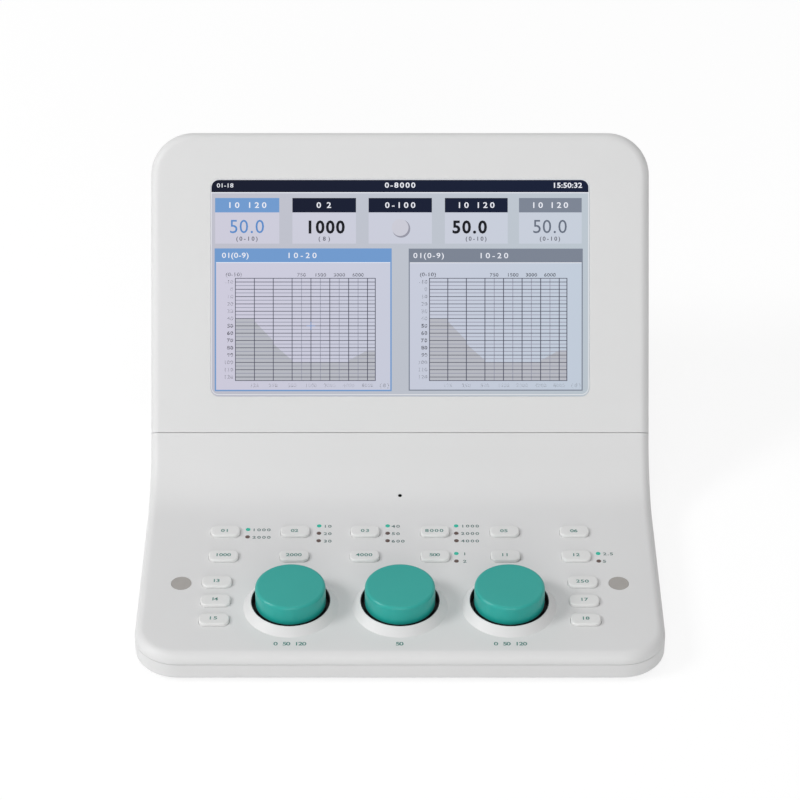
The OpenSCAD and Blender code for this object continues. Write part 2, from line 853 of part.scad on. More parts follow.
module lcd_module() {
    color([0.75, 0.76, 0.78])
        at_screen()
            translate([0, LCD_S, LCD_N - LCD_T])
                linear_extrude(LCD_T)
                    square([LCD_W, LCD_H], center = true);
}

module lcd_rails() {
    rail_l = RAIL_SCREWS_S[1] - RAIL_SCREWS_S[0] + 14;
    tab_l = 12;
    tab_end = RAIL_SCREW_X + 3;
    rail_n = LCD_N - LCD_T - RAIL_T;
    color([0.62, 0.63, 0.65])
        at_screen()
            mirrored() {
                difference() {
                    union() {
                        translate([RAIL_X[0], LCD_S - rail_l / 2, rail_n])
                            cube([RAIL_X[1] - RAIL_X[0], rail_l, RAIL_T]);
                        for (s = RAIL_SCREWS_S)
                            translate([RAIL_X[0], s - tab_l / 2, rail_n])
                                cube([tab_end - RAIL_X[0], tab_l, RAIL_T]);
                    }
                    for (s = RAIL_SCREWS_S)
                        translate([RAIL_SCREW_X, s, rail_n - 1])
                            cylinder(h = RAIL_T + 2, r = 1.4);
                }
                for (s = RAIL_SCREWS_S)
                    translate([RAIL_SCREW_X, s, rail_n])
                        union() {
                            cylinder(h = 5, r = 1.05);
                            translate([0, 0, -1.4])
                                cylinder(h = 1.4, r = 2.2);
                        }
            }
}

module display_board() {
    chip = [14, 14, 1.6];
    color([0.10, 0.36, 0.22])
        at_screen()
            translate([0, DRIVER_S, DRIVER_N]) {
                translate([0, 0, -board_t / 2])
                    cube([DRIVER_W, DRIVER_H, board_t], center = true);
                translate([0, 4, -board_t - chip.z / 2])
                    cube(chip, center = true);
                for (x = [-1, 1], s = [-1, 1])
                    translate([x * (DRIVER_W / 2 - 5), s * (DRIVER_H / 2 - 5), 0])
                        cylinder(h = 4, r = 2.5);
            }
}

// Left normal of a route's step from a to b, and the mitre at its point i
function step_normal(a, b) = [a.y - b.y, b.x - a.x] / norm(b - a);
function route_normal(route, i) =
    i == 0 ? step_normal(route[0], route[1])
    : i == len(route) - 1 ? step_normal(route[i - 1], route[i])
    : let (m = step_normal(route[i - 1], route[i]) + step_normal(route[i], route[i + 1]))
        2 * m / (m * m);

// Flat ribbon of the given width along a route in the side view
module ribbon(route, width) {
    thick = 0.5;
    last = len(route) - 1;
    along_x(-width / 2, width / 2)
        polygon(concat(
            [for (i = [0:last]) route[i] + thick / 2 * route_normal(route, i)],
            [for (i = [0:last]) route[last - i] - thick / 2 * route_normal(route, last - i)]
        ));
}

module display_ribbon() {
    start = on_screen(DRIVER_S - DRIVER_H / 2 - 0.1, DRIVER_N - board_t / 2);
    color([0.93, 0.93, 0.90])
        ribbon([
            start,
            [DISPLAY_SOCKET_Y + 10, MAIN_TOP + 34],
            [DISPLAY_SOCKET_Y, MAIN_TOP + 16],
            [DISPLAY_SOCKET_Y, MAIN_TOP + 2.4]
        ], 30);
}

// ---- Dials ----

module knob(i) {
    rib_t = 1.2;
    color([0.25, 0.62, 0.58])
        at([knob_x(i), knob_y]) {
            difference() {
                rotate_extrude()
                    strip_profile(KNOB_R, KNOB_SKIRT_Z, KNOB_TOP, knob_edge_r, 0);
                translate([0, 0, KNOB_SKIRT_Z - 1])
                    cylinder(h = KNOB_TOP - KNOB_SKIRT_Z - KNOB_SKIN + 1, r = KNOB_R - KNOB_SKIN);
            }
            difference() {
                union() {
                    translate([0, 0, BUSH_TOP + 0.7])
                        cylinder(h = KNOB_TOP - KNOB_SKIN - BUSH_TOP - 0.2, r = HUB_R);
                    for (a = [0, 90])
                        rotate(a)
                            translate([-(KNOB_R - KNOB_SKIN / 2), -rib_t / 2, BUSH_TOP + 2.5])
                                cube([2 * KNOB_R - KNOB_SKIN, rib_t, KNOB_TOP - KNOB_SKIN - BUSH_TOP - 2]);
                }
                translate([0, 0, BUSH_TOP - 1])
                    d_shaft(SHAFT_R + PRESS_FIT, KNOB_TOP - KNOB_SKIN - BUSH_TOP - 0.4, PRESS_FIT);
            }
        }
}

// Round bar with one flat, from z = 0 up
module d_shaft(r, h, grow) {
    intersection() {
        cylinder(h = h, r = r);
        translate([-2 * r, -2 * r, -1])
            cube([2 * r + SHAFT_R / 2 + grow, 4 * r, h + 2]);
    }
}

module shaft(i) {
    foot = BOARD_TOP + 0.7;
    flat_from = BUSH_TOP + 0.4;
    color([0.72, 0.72, 0.74])
        at([knob_x(i), knob_y]) {
            translate([0, 0, foot])
                cylinder(h = flat_from - foot, r = SHAFT_R);
            translate([0, 0, flat_from])
                d_shaft(SHAFT_R, KNOB_TOP - KNOB_SKIN - 2 - flat_from, 0);
        }
}

module encoder_bodies() {
    color([0.35, 0.36, 0.38])
        for (i = [0:2])
            at([knob_x(i), knob_y], BOARD_TOP)
                difference() {
                    union() {
                        translate([-ENCODER_W / 2, -ENCODER_W / 2, 0])
                            cube([ENCODER_W, ENCODER_W, encoder_h]);
                        cylinder(h = BUSH_TOP - BOARD_TOP, r = BUSH_R);
                    }
                    translate([0, 0, -1])
                        cylinder(h = BUSH_TOP - BOARD_TOP + 2, r = SHAFT_R + RUNNING_FIT);
                }
}

module encoder_nuts() {
    color([0.70, 0.70, 0.72])
        for (i = [0:2])
            at([knob_x(i), knob_y], DECK_UNDER)
                difference() {
                    cylinder(h = NUT_T, r = BUSH_R + 2.3, $fn = 6);
                    translate([0, 0, -1])
                        cylinder(h = NUT_T + 2, r = BUSH_R + 0.05);
                }
}

module encoder_bracket() {
    color([0.10, 0.10, 0.11])
        difference() {
            translate([0, knob_y, DECK_UNDER - bracket_t])
                rounded_box(2 * BRACKET_X, BRACKET_D, 3, bracket_t);
            for (i = [0:2])
                at([knob_x(i), knob_y], DECK_UNDER - bracket_t - 1)
                    cylinder(h = bracket_t + 2, r = BUSH_R + 0.1);
            for (p = STAKES)
                at(p, DECK_UNDER - bracket_t - 1)
                    cylinder(h = bracket_t + 2, r = STAKE_R + 0.1);
        }
}

// ---- Keys ----

// A key cap with its rounded top, the flange that keeps it in and the stem that works its switch
module key(x, y) {
    flange_top = DECK_UNDER - 0.1;
    tip = BOARD_TOP + SWITCH_H - 0.6;
    color([0.85, 0.85, 0.85])
        at([x, y]) {
            translate([0, 0, flange_top])
                rounded_box(key_w, key_d, key_r, DECK_Z + key_rise - key_edge_r - flange_top);
            key_crown();
            translate([0, 0, flange_top - FLANGE_T])
                rounded_box(key_w + 2 * FLANGE_W, key_d + 2 * FLANGE_W, key_r + FLANGE_W, FLANGE_T);
            translate([0, 0, tip])
                cylinder(h = flange_top - FLANGE_T - tip, r = STEM_R);
        }
}

// Upper edge of a key: straight quarter rounds along the sides, turned ones at the corners
module key_crown() {
    z = DECK_Z + key_rise - key_edge_r;
    long = key_w - 2 * key_r;
    deep = key_d - 2 * key_r;
    translate([-long / 2, -deep / 2, z])
        cube([long, deep, key_edge_r]);
    for (a = [0, 180])
        rotate(a) {
            translate([0, deep / 2, z])
                along_x(-long / 2, long / 2)
                    strip_profile(key_r, 0, key_edge_r, key_edge_r, 0);
            translate([long / 2, 0, z])
                rotate(-90)
                    along_x(-deep / 2, deep / 2)
                        strip_profile(key_r, 0, key_edge_r, key_edge_r, 0);
            translate([long / 2, deep / 2, z])
                rotate_extrude(angle = 90)
                    strip_profile(key_r, 0, key_edge_r, key_edge_r, 0);
            translate([-long / 2, deep / 2, z])
                rotate(90)
                    rotate_extrude(angle = 90)
                        strip_profile(key_r, 0, key_edge_r, key_edge_r, 0);
        }
}

module tact_switches() {
    well = 0.6 + key_travel + 0.6;
    color([0.13, 0.13, 0.14])
        for (k = KEYS)
            at([k.y, k.z], BOARD_TOP)
                difference() {
                    translate([-SWITCH_W / 2, -SWITCH_W / 2, 0])
                        cube([SWITCH_W, SWITCH_W, SWITCH_H]);
                    translate([0, 0, SWITCH_H - well])
                        cylinder(h = well + 1, r = STEM_R + 0.2);
                }
}

module key_board() {
    color([0.10, 0.36, 0.22])
        difference() {
            union() {
                translate([-KEY_BOARD_X, KEY_BOARD_Y[0], BOARD_TOP - board_t])
                    cube([2 * KEY_BOARD_X, KEY_BOARD_Y[1] - KEY_BOARD_Y[0], board_t]);
                translate([-22, KEY_BOARD_Y[1] - 5, BOARD_TOP - 0.1])
                    cube([44, 5, 2.1]);
            }
            for (p = BOARD_BOSSES)
                at(p, BOARD_TOP - board_t - 1)
                    cylinder(h = board_t + 2, r = 1.3);
        }
}

// Screws of the key board, from below, and of the main board, from above
module board_screws() {
    color([0.60, 0.60, 0.62]) {
        for (p = BOARD_BOSSES)
            at(p, BOARD_TOP - board_t) {
                cylinder(h = board_t + 4.5, r = 1.05);
                translate([0, 0, -1.2])
                    cylinder(h = 1.2, r = 2.2);
            }
        for (p = MAIN_POSTS)
            at(p, MAIN_TOP)
                rotate([180, 0, 0])
                    screw(8);
    }
}

// ---- Lamps, pads, microphone and speaker ----

// Light pipe with a collar under the deck
module lamp(p) {
    collar_t = 1;
    foot = BOARD_TOP + 1.1;
    at(p, foot)
        cylinder(h = DECK_Z + 0.15 - foot, r = LAMP_R);
    at(p, DECK_UNDER - collar_t)
        cylinder(h = collar_t, r = LAMP_COLLAR_R);
}

module lamps_lit() {
    color([0.20, 0.75, 0.65])
        for (p = LAMPS_LIT)
            lamp(p);
}

module lamps_dark() {
    color([0.20, 0.12, 0.10])
        for (p = LAMPS_DARK)
            lamp(p);
}

module lamp_chips() {
    color([0.92, 0.92, 0.85])
        for (p = concat(LAMPS_LIT, LAMPS_DARK))
            at(p, BOARD_TOP + 0.45)
                cube([2, 1.25, 0.9], center = true);
}

module touch_pads() {
    color([0.62, 0.61, 0.60])
        mirrored()
            at([pad_x, pad_y], DECK_Z - 1.5)
                cylinder(h = 1.5, r = pad_d / 2);
}

module pad_contacts() {
    color([0.80, 0.68, 0.35])
        mirrored()
            at([pad_x, pad_y], BOARD_TOP)
                cylinder(h = DECK_Z - 1.5 - BOARD_TOP, r = 0.8);
}

module talk_microphone() {
    color([0.30, 0.30, 0.32])
        mic_place()
            translate([0, 0, -(sweep_r + wall + 2.8)])
                cylinder(h = 2.7, r = 3);
}

module monitor_speaker() {
    color([0.15, 0.15, 0.16])
        at(SPEAKER, FLOOR_Z)
            difference() {
                union() {
                    cylinder(h = 3, r = SPEAKER_R);
                    translate([0, 0, 3])
                        cylinder(h = SPEAKER_H - 6, r1 = SPEAKER_R, r2 = 12);
                    translate([0, 0, SPEAKER_H - 3])
                        cylinder(h = 3, r = 12);
                }
                translate([0, 0, -1])
                    cylinder(h = 3, r = SPEAKER_R - 2.5);
            }
}

// ---- Main board and rear connectors ----

module main_board() {
    color([0.10, 0.36, 0.22])
        difference() {
            union() {
                translate([-MAIN_X, MAIN_Y[0], MAIN_Z])
                    cube([2 * MAIN_X, MAIN_Y[1] - MAIN_Y[0], board_t]);
                // sockets of the key ribbon and the display ribbon
                translate([-22, MAIN_Y[0] + 1, MAIN_TOP - 0.1])
                    cube([44, 5, 2.1]);
                translate([-17, DISPLAY_SOCKET_Y - 3, MAIN_TOP - 0.1])
                    cube([34, 6, 2.5]);
            }
            for (p = MAIN_POSTS)
                at(p, MAIN_Z - 1)
                    cylinder(h = board_t + 5, r = CLEAR_R);
            // notch round the rocker frame
            translate([ROCKER_X - 8.5, PANEL_Y - 17.5, MAIN_Z - 1])
                cube([17, 18, board_t + 2]);
        }
}

module shield_can() {
    color([0.75, 0.76, 0.78])
        translate([45, REAR_Y - 66, MAIN_TOP])
            difference() {
                cube([48, 34, 5]);
                translate([0.4, 0.4, -1])
                    cube([47.2, 33.2, 5.6]);
            }
}

module key_ribbon() {
    color([0.93, 0.93, 0.90])
        ribbon([
            [KEY_BOARD_Y[1], BOARD_TOP + 1],
            [MAIN_Y[0] - 16, BOARD_TOP + 1.2],
            [MAIN_Y[0] - 6, MAIN_TOP + 0.6],
            [MAIN_Y[0] + 1, MAIN_TOP + 1]
        ], 40);
}

// Steel plate behind the bay, with an opening for each connector
module connector_panel() {
    color([0.24, 0.25, 0.27])
        difference() {
            translate([0, PANEL_Y, AXIS_Z])
                rotate([90, 0, 0])
                    rounded_box(bay_w + 20, bay_h + 6, 3, panel_t);
            translate([0, PANEL_Y + 1, AXIS_Z])
                rotate([90, 0, 0]) {
                    for (i = [0:JACKS - 1])
                        translate([jack_x(i), 0, 0])
                            cylinder(h = panel_t + 2, r = JACK_HOLE_R);
                    for (p = PANEL_SCREWS)
                        translate([p.x, p.y - AXIS_Z, 0])
                            cylinder(h = panel_t + 2, r = CLEAR_R);
                    translate([USB_X, 0, 0])
                        rounded_box(12.4, 11.4, 0.5, panel_t + 2);
                    translate([DC_X, 0, 0])
                        cylinder(h = panel_t + 2, r = 4.6);
                    translate([ROCKER_X, 0, 0])
                        rounded_box(13.4, 19.6, 0.5, panel_t + 2);
                }
        }
}

module panel_screws() {
    color([0.55, 0.55, 0.57])
        for (p = PANEL_SCREWS)
            translate([p.x, REAR_Y - HAIR, p.y])
                rotate([90, 0, 0]) {
                    screw(wall + panel_t + 3.2);
                    translate([0, 0, wall + panel_t])
                        difference() {
                            cylinder(h = 2.4, r = 3.1, $fn = 6);
                            translate([0, 0, -1])
                                cylinder(h = 5, r = PILOT_R);
                        }
                }
}

module phone_jacks() {
    tail = 2;
    color([0.12, 0.12, 0.13])
        for (i = [0:JACKS - 1])
            translate([jack_x(i), JACK_Y, AXIS_Z])
                rotate([90, 0, 0])
                    difference() {
                        translate([-JACK_W / 2, -JACK_H / 2, 0])
                            cube([JACK_W, JACK_H, jack_depth + tail]);
                        translate([0, 0, -1])
                            cylinder(h = jack_depth + 1, r = JACK_R);
                    }
}

// Square data socket with its tongue
module usb_socket() {
    color([0.70, 0.71, 0.73])
        translate([USB_X, PANEL_Y - 0.2, MAIN_TOP])
            rotate([90, 0, 0]) {
                difference() {
                    translate([-USB_W / 2, AXIS_Z - MAIN_TOP - 5.5, 0])
                        cube([USB_W, 11, 16]);
                    translate([-4.25, AXIS_Z - MAIN_TOP - 3.9, -1])
                        cube([8.5, 7.8, 10]);
                }
                translate([-2.8, AXIS_Z - MAIN_TOP - 1.6, 2])
                    cube([5.6, 3.2, 8]);
                translate([-5, 0, 5])
                    cube([10, AXIS_Z - MAIN_TOP - 5.4, 10]);
            }
}

// Round power inlet with its centre pin
module dc_socket() {
    color([0.12, 0.12, 0.13])
        translate([DC_X, PANEL_Y - 0.2, MAIN_TOP])
            rotate([90, 0, 0]) {
                difference() {
                    union() {
                        translate([0, AXIS_Z - MAIN_TOP, 0])
                            cylinder(h = 4, r = 4.4);
                        translate([-DC_W / 2, 0, 2])
                            cube([DC_W, AXIS_Z - MAIN_TOP + 5, 12]);
                    }
                    translate([0, AXIS_Z - MAIN_TOP, -1])
                        cylinder(h = 10.5, r = 2.85);
                }
                translate([0, AXIS_Z - MAIN_TOP, 1])
                    cylinder(h = 9, r = 1);
            }
}

module rocker_frame() {
    body_d = 16;
    color([0.11, 0.11, 0.12])
        translate([ROCKER_X, PANEL_Y, AXIS_Z])
            rotate([90, 0, 0])
                difference() {
                    union() {
                        translate([0, 0, -1.8])
                            rounded_box(ROCKER_W, 21.6, 1, 1.8);
                        translate([0, 0, -0.1])
                            rounded_box(13, 19.2, 0.4, body_d);
                    }
                    translate([-5.6, -8.8, -3])
                        cube([11.2, 17.6, body_d - 1]);
                    translate([-6.2, 0, PANEL_Y - ROCKER_PIVOT_Y])
                        rotate([0, 90, 0])
                            cylinder(h = 12.4, r = AXLE_R + RUNNING_FIT);
                }
}

// Rocker with two sloping faces on one cross axle, shown pressed to its off side
module power_rocker() {
    half_h = 7.8;
    color([0.16, 0.16, 0.17])
        translate([ROCKER_X, ROCKER_PIVOT_Y, AXIS_Z])
            rotate([rocker_tilt, 0, 0]) {
                along_x(-5.4, 5.4)
                    polygon([[-2, -4], [0.5, -half_h], [4.4, -half_h], [3, 0], [4.4, half_h], [0.5, half_h], [-2, 4]]);
                along_x(-6.1, 6.1)
                    circle(AXLE_R);
            }
}

// ---- The assembly ----

module placed() {
    translate([0, -DEPTH / 2, 0])
        children();
}

placed() base_tray();
placed() deck_cover();
placed() screen_frame();
placed() rear_housing();
placed() rubber_feet();
placed() housing_screws();
placed() head_screws();
placed() touch_panel();
placed() lcd_module();
placed() lcd_rails();
placed() display_board();
placed() display_ribbon();
for (i = [0:2]) {
    placed() knob(i);
    placed() shaft(i);
}
placed() encoder_bodies();
placed() encoder_nuts();
placed() encoder_bracket();
for (k = KEYS)
    placed() key(k.y, k.z);
placed() tact_switches();
placed() key_board();
placed() board_screws();
placed() lamps_lit();
placed() lamps_dark();
placed() lamp_chips();
placed() touch_pads();
placed() pad_contacts();
placed() talk_microphone();
placed() monitor_speaker();
placed() main_board();
placed() shield_can();
placed() key_ribbon();
placed() connector_panel();
placed() panel_screws();
placed() phone_jacks();
placed() usb_socket();
placed() dc_socket();
placed() rocker_frame();
placed() power_rocker();
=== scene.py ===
"""Looks of the desk audiometer: finishes, the lit display and the printed marks, in the CAD frame."""
import math
import bpy
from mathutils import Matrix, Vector


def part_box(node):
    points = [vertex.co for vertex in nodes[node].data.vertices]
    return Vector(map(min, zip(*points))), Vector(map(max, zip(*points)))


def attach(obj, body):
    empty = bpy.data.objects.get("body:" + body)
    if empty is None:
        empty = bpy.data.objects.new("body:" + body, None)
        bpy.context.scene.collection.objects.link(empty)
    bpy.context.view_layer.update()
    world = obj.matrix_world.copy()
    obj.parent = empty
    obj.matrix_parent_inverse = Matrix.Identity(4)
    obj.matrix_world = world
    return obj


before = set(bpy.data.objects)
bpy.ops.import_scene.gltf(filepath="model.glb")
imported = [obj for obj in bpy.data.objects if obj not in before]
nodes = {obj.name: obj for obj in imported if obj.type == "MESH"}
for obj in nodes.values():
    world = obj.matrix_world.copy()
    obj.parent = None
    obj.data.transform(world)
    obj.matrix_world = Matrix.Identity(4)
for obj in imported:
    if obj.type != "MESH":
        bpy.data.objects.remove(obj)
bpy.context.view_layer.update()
MM = 0.001

# ---------------------------------------------------------------- places
SCREEN_TILT = math.radians(54.7)
FRONT_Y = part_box("base_tray")[0].y
DECK_Z = 18.7 * MM
SEAM = Vector((0, FRONT_Y + 170.295 * MM, DECK_Z + 24.6 * MM))
ALONG = Vector((0, math.cos(SCREEN_TILT), math.sin(SCREEN_TILT)))
OUT = Vector((0, -math.sin(SCREEN_TILT), math.cos(SCREEN_TILT)))


def on_screen(x, s, n):
    """A point on the screen's frame in millimetres: across, up from the cross seam, out of the face."""
    return Vector((x * MM, 0, 0)) + SEAM + ALONG * (s * MM) + OUT * (n * MM)


def on_deck(x, y, z):
    """A point over the deck, in millimetres: across, from the front wall, above the deck."""
    return Vector((x * MM, FRONT_Y + y * MM, DECK_Z + z * MM))


# ---------------------------------------------------------------- materials
def srgb(r, g, b):
    """Linear colour of an sRGB one given as 0 to 255."""
    out = []
    for v in (r, g, b):
        v /= 255
        out.append(v / 12.92 if v <= 0.04045 else ((v + 0.055) / 1.055) ** 2.4)
    return tuple(out) + (1,)


def new_material(name):
    """A material with its node tree and its shader."""
    m = bpy.data.materials.new(name)
    m.use_nodes = True
    tree = m.node_tree
    shader = tree.nodes["Principled BSDF"]
    return m, tree, shader


def mottle(tree, colour, amount, scale):
    """A colour that drifts a little over the surface."""
    coord = tree.nodes.new("ShaderNodeTexCoord")
    noise = tree.nodes.new("ShaderNodeTexNoise")
    noise.inputs["Scale"].default_value = scale
    noise.inputs["Detail"].default_value = 4
    tree.links.new(coord.outputs["Object"], noise.inputs["Vector"])
    ramp = tree.nodes.new("ShaderNodeValToRGB")
    ramp.color_ramp.elements[0].position = 0.3
    ramp.color_ramp.elements[1].position = 0.7
    ramp.color_ramp.elements[0].color = tuple(c * (1 - amount) for c in colour[:3]) + (1,)
    ramp.color_ramp.elements[1].color = tuple(min(1, c * (1 + amount)) for c in colour[:3]) + (1,)
    tree.links.new(noise.outputs["Fac"], ramp.inputs["Fac"])
    return ramp.outputs["Color"], coord


GRAIN_DEPTH = 0.02


def grain(tree, shader, coord, scale, height):
    """Fine moulded or cast texture."""
    noise = tree.nodes.new("ShaderNodeTexNoise")
    noise.inputs["Scale"].default_value = scale
    noise.inputs["Detail"].default_value = 2
    tree.links.new(coord.outputs["Object"], noise.inputs["Vector"])
    bump = tree.nodes.new("ShaderNodeBump")
    bump.inputs["Strength"].default_value = height
    bump.inputs["Distance"].default_value = GRAIN_DEPTH * MM
    tree.links.new(noise.outputs["Fac"], bump.inputs["Height"])
    tree.links.new(bump.outputs["Normal"], shader.inputs["Normal"])


def plastic(name, colour, rough, amount, scale, grain_scale, height, metal=0.0, specular=0.5):
    """A moulded or metal finish: mottled by amount at scale, with a grain of its own scale and height."""
    m, tree, shader = new_material(name)
    shade, coord = mottle(tree, colour, amount, scale)
    tree.links.new(shade, shader.inputs["Base Color"])
    shader.inputs["Roughness"].default_value = rough
    shader.inputs["Metallic"].default_value = metal
    shader.inputs["Specular IOR Level"].default_value = specular
    grain(tree, shader, coord, grain_scale, height)
    return m


DISPLAY_HALF = 111
DISPLAY_FOOT, DISPLAY_HEAD = 62, 166
FOOT_LIGHT = 0.95


def lit(name, colour, right=None):
    """A part of the lit display or of a lamp: it gives its own colour, under a dull coat.

    The colour may turn into another one from left to right; it dims a little towards the foot.
    """
    m, tree, shader = new_material(name)
    right = right or colour
    coord = tree.nodes.new("ShaderNodeTexCoord")
    split = tree.nodes.new("ShaderNodeSeparateXYZ")
    tree.links.new(coord.outputs["Object"], split.inputs["Vector"])
    across = tree.nodes.new("ShaderNodeMapRange")
    across.inputs["From Min"].default_value = -DISPLAY_HALF * MM
    across.inputs["From Max"].default_value = DISPLAY_HALF * MM
    tree.links.new(split.outputs["X"], across.inputs["Value"])
    ramp = tree.nodes.new("ShaderNodeValToRGB")
    ramp.color_ramp.elements[0].color = colour
    ramp.color_ramp.elements[1].color = right
    tree.links.new(across.outputs["Result"], ramp.inputs["Fac"])
    up = tree.nodes.new("ShaderNodeMapRange")
    up.inputs["From Min"].default_value = DISPLAY_FOOT * MM
    up.inputs["From Max"].default_value = DISPLAY_HEAD * MM
    up.inputs["To Min"].default_value = FOOT_LIGHT
    up.inputs["To Max"].default_value = 1.0
    tree.links.new(split.outputs["Z"], up.inputs["Value"])
    dim = tree.nodes.new("ShaderNodeVectorMath")
    dim.operation = "SCALE"
    tree.links.new(ramp.outputs["Color"], dim.inputs[0])
    tree.links.new(up.outputs["Result"], dim.inputs["Scale"])
    shader.inputs["Base Color"].default_value = (0.003, 0.003, 0.003, 1)
    shader.inputs["Roughness"].default_value = 0.4
    shader.inputs["Specular IOR Level"].default_value = 0.06
    tree.links.new(dim.outputs["Vector"], shader.inputs["Emission Color"])
    shader.inputs["Emission Strength"].default_value = 1.0
    return m


shell = plastic("housing_plastic", srgb(226, 226, 226), 0.48, 0.006, 12, 1800, 0.10, specular=0.4)
tray = plastic("tray_plastic", srgb(226, 226, 226), 0.48, 0.006, 12, 1800, 0.10, specular=0.4)
key_plastic = plastic("key_plastic", srgb(230, 230, 229), 0.40, 0.008, 40, 1800, 0.08, specular=0.4)
dial = plastic("dial_plastic", srgb(38, 166, 156), 0.30, 0.02, 30, 1500, 0.08, specular=0.40)
black_steel = plastic("black_steel", srgb(26, 26, 28), 0.5, 0.1, 60, 900, 0.2)
black_plastic = plastic("black_plastic", srgb(30, 30, 32), 0.45, 0.08, 60, 1200, 0.2)
rubber = plastic("rubber", srgb(38, 38, 40), 0.8, 0.1, 80, 900, 0.3)
steel = plastic("zinc_steel", srgb(170, 170, 174), 0.35, 0.05, 90, 1400, 0.15, metal=1.0)
tin = plastic("tin_plate", srgb(196, 198, 202), 0.3, 0.04, 60, 1400, 0.1, metal=1.0)
turned = plastic("turned_metal", srgb(180, 181, 184), 0.3, 0.04, 80, 1400, 0.1, metal=1.0)
brass = plastic("plated_brass", srgb(206, 170, 92), 0.3, 0.05, 80, 1400, 0.1, metal=1.0)
board = plastic("solder_mask", srgb(22, 92, 54), 0.35, 0.08, 120, 700, 0.2)
cable = plastic("flat_cable", srgb(226, 226, 220), 0.5, 0.03, 100, 900, 0.1)
pad_plastic = plastic("pad_plastic", srgb(168, 164, 160), 0.5, 0.03, 200, 2500, 0.25)
lamp_on = lit("lamp_lit", srgb(58, 178, 156))
lamp_off = plastic("lamp_dark", srgb(92, 72, 66), 0.4, 0.08, 300, 1200, 0.1)
print_teal = plastic("print_teal", srgb(74, 130, 122), 0.6, 0.05, 500, 3000, 0.05)
print_grey = plastic("print_grey", srgb(84, 112, 110), 0.6, 0.05, 500, 3000, 0.05)
# near black, darker than the other black parts: partly the microphone's own black face, partly painted
# shade for its dark hole
mic_black_and_shade = plastic("mic_black_and_shade", srgb(8, 8, 9), 0.9, 0.1, 300, 900, 0.2, specular=0.1)

finish = {
    "base_tray": tray, "rubber_feet": rubber, "housing_screws": steel, "head_screws": steel,
    "lcd_module": tin, "lcd_rails": tin, "display_board": board, "display_ribbon": cable,
    "encoder_bodies": turned, "encoder_nuts": steel, "encoder_bracket": black_steel,
    "tact_switches": black_plastic, "key_board": board, "board_screws": steel,
    "lamps_lit": lamp_on, "lamps_dark": lamp_off, "lamp_chips": cable,
    "touch_pads": pad_plastic, "pad_contacts": brass, "talk_microphone": mic_black_and_shade,
    "monitor_speaker": black_plastic, "main_board": board, "shield_can": tin,
    "key_ribbon": cable, "connector_panel": black_steel, "panel_screws": steel,
    "phone_jacks": black_plastic, "usb_socket": tin, "dc_socket": black_plastic,
    "rocker_frame": black_plastic, "power_rocker": black_plastic,
}
for side in ("left", "centre", "right"):
    finish["knob_" + side] = dial
    finish["shaft_" + side] = turned
for name, node in nodes.items():
    if name != "touch_panel":
        usual = key_plastic if name.startswith("key_") else shell
        node.data.materials.clear()
        node.data.materials.append(finish.get(name, usual))


# ---------------------------------------------------------------- flat pieces
def flat_mesh(name, parts, place, material, body="instrument"):
    """One piece made of flat parts, each its points (x, y, lift) and faces; place puts a point in space."""
    verts, faces = [], []
    for points, polygons in parts:
        faces += [tuple(len(verts) + i for i in polygon) for polygon in polygons]
        verts += [place(*p) for p in points]
    mesh = bpy.data.meshes.new(name)
    mesh.from_pydata(verts, [], faces)
    mesh.materials.append(material)
    piece = bpy.data.objects.new(name, mesh)
    bpy.context.scene.collection.objects.link(piece)
    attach(piece, body)
    return piece


def sheet(points):
    """A part of one face."""
    return list(points), [tuple(range(len(points)))]


def box_sheet(x0, y0, x1, y1, lift):
    return sheet([(x0, y0, lift), (x1, y0, lift), (x1, y1, lift), (x0, y1, lift)])


def round_points(x0, y0, x1, y1, radii, lift, steps=10):
    """Corners of a box, from the lower right one leftwards round, each with its own radius."""
    points = []
    corners = ((x1, y0, -1, 1, -90), (x1, y1, -1, -1, 0), (x0, y1, 1, -1, 90), (x0, y0, 1, 1, 180))
    for (cx, cy, dx, dy, start), r in zip(corners, radii):
        for i in range(steps + 1):
            a = math.radians(start + 90 * i / steps)
            points.append((cx + dx * r + r * math.cos(a), cy + dy * r + r * math.sin(a), lift))
    return points


def ring_part(outer, inner):
    """The band between two loops of as many points."""
    n = len(outer)
    return outer + inner, [(i, (i + 1) % n, n + (i + 1) % n, n + i) for i in range(n)]


# The camera that the photograph was taken with; marks and display are laid out through it
CAM_TILT = math.radians(36)
IMAGE = 800
MIDDLE_X, MIDDLE_Y = 400.4, 400
CAM_F = 2859.0
CAM_D = 1677.0
CAM_C0 = Vector((0, FRONT_Y + 181.4 * MM, 58.9 * MM))
VIEW = Vector((0, math.cos(CAM_TILT), -math.sin(CAM_TILT)))
CAM = CAM_C0 - VIEW * (CAM_D * MM)
CAM_UP = Vector((0, math.sin(CAM_TILT), math.cos(CAM_TILT)))


def met(px, py, point, normal):
    """Where the line through an image point meets a plane."""
    ray = VIEW + Vector((1, 0, 0)) * ((px - MIDDLE_X) / CAM_F) + CAM_UP * ((MIDDLE_Y - py) / CAM_F)
    return CAM + ray * ((point - CAM).dot(normal) / ray.dot(normal))


def seen(px, py):
    """Place on the screen face, (x, s) in millimetres."""
    hit = met(px, py, SEAM, OUT) - SEAM
    return hit.x / MM, hit.dot(ALONG) / MM


def seen_deck(px, py, z):
    """Place at a height over the deck, (x, y) in millimetres."""
    hit = met(px, py, on_deck(0, 0, z), Vector((0, 0, 1)))
    return hit.x / MM, (hit.y - FRONT_Y) / MM


def rect(px0, py0, px1, py1, lift):
    """A rectangle of the display whose corners are given in image points."""
    x0, s1 = seen(px0, py0)
    x1, s0 = seen(px1, py1)
    return box_sheet(x0, s0, x1, s1, lift)


# ---------------------------------------------------------------- plain numerals
glyphs = {}
CELLS = {".": 0.40, ":": 0.40, "-": 0.52, "(": 0.42, ")": 0.42, " ": 0.5}


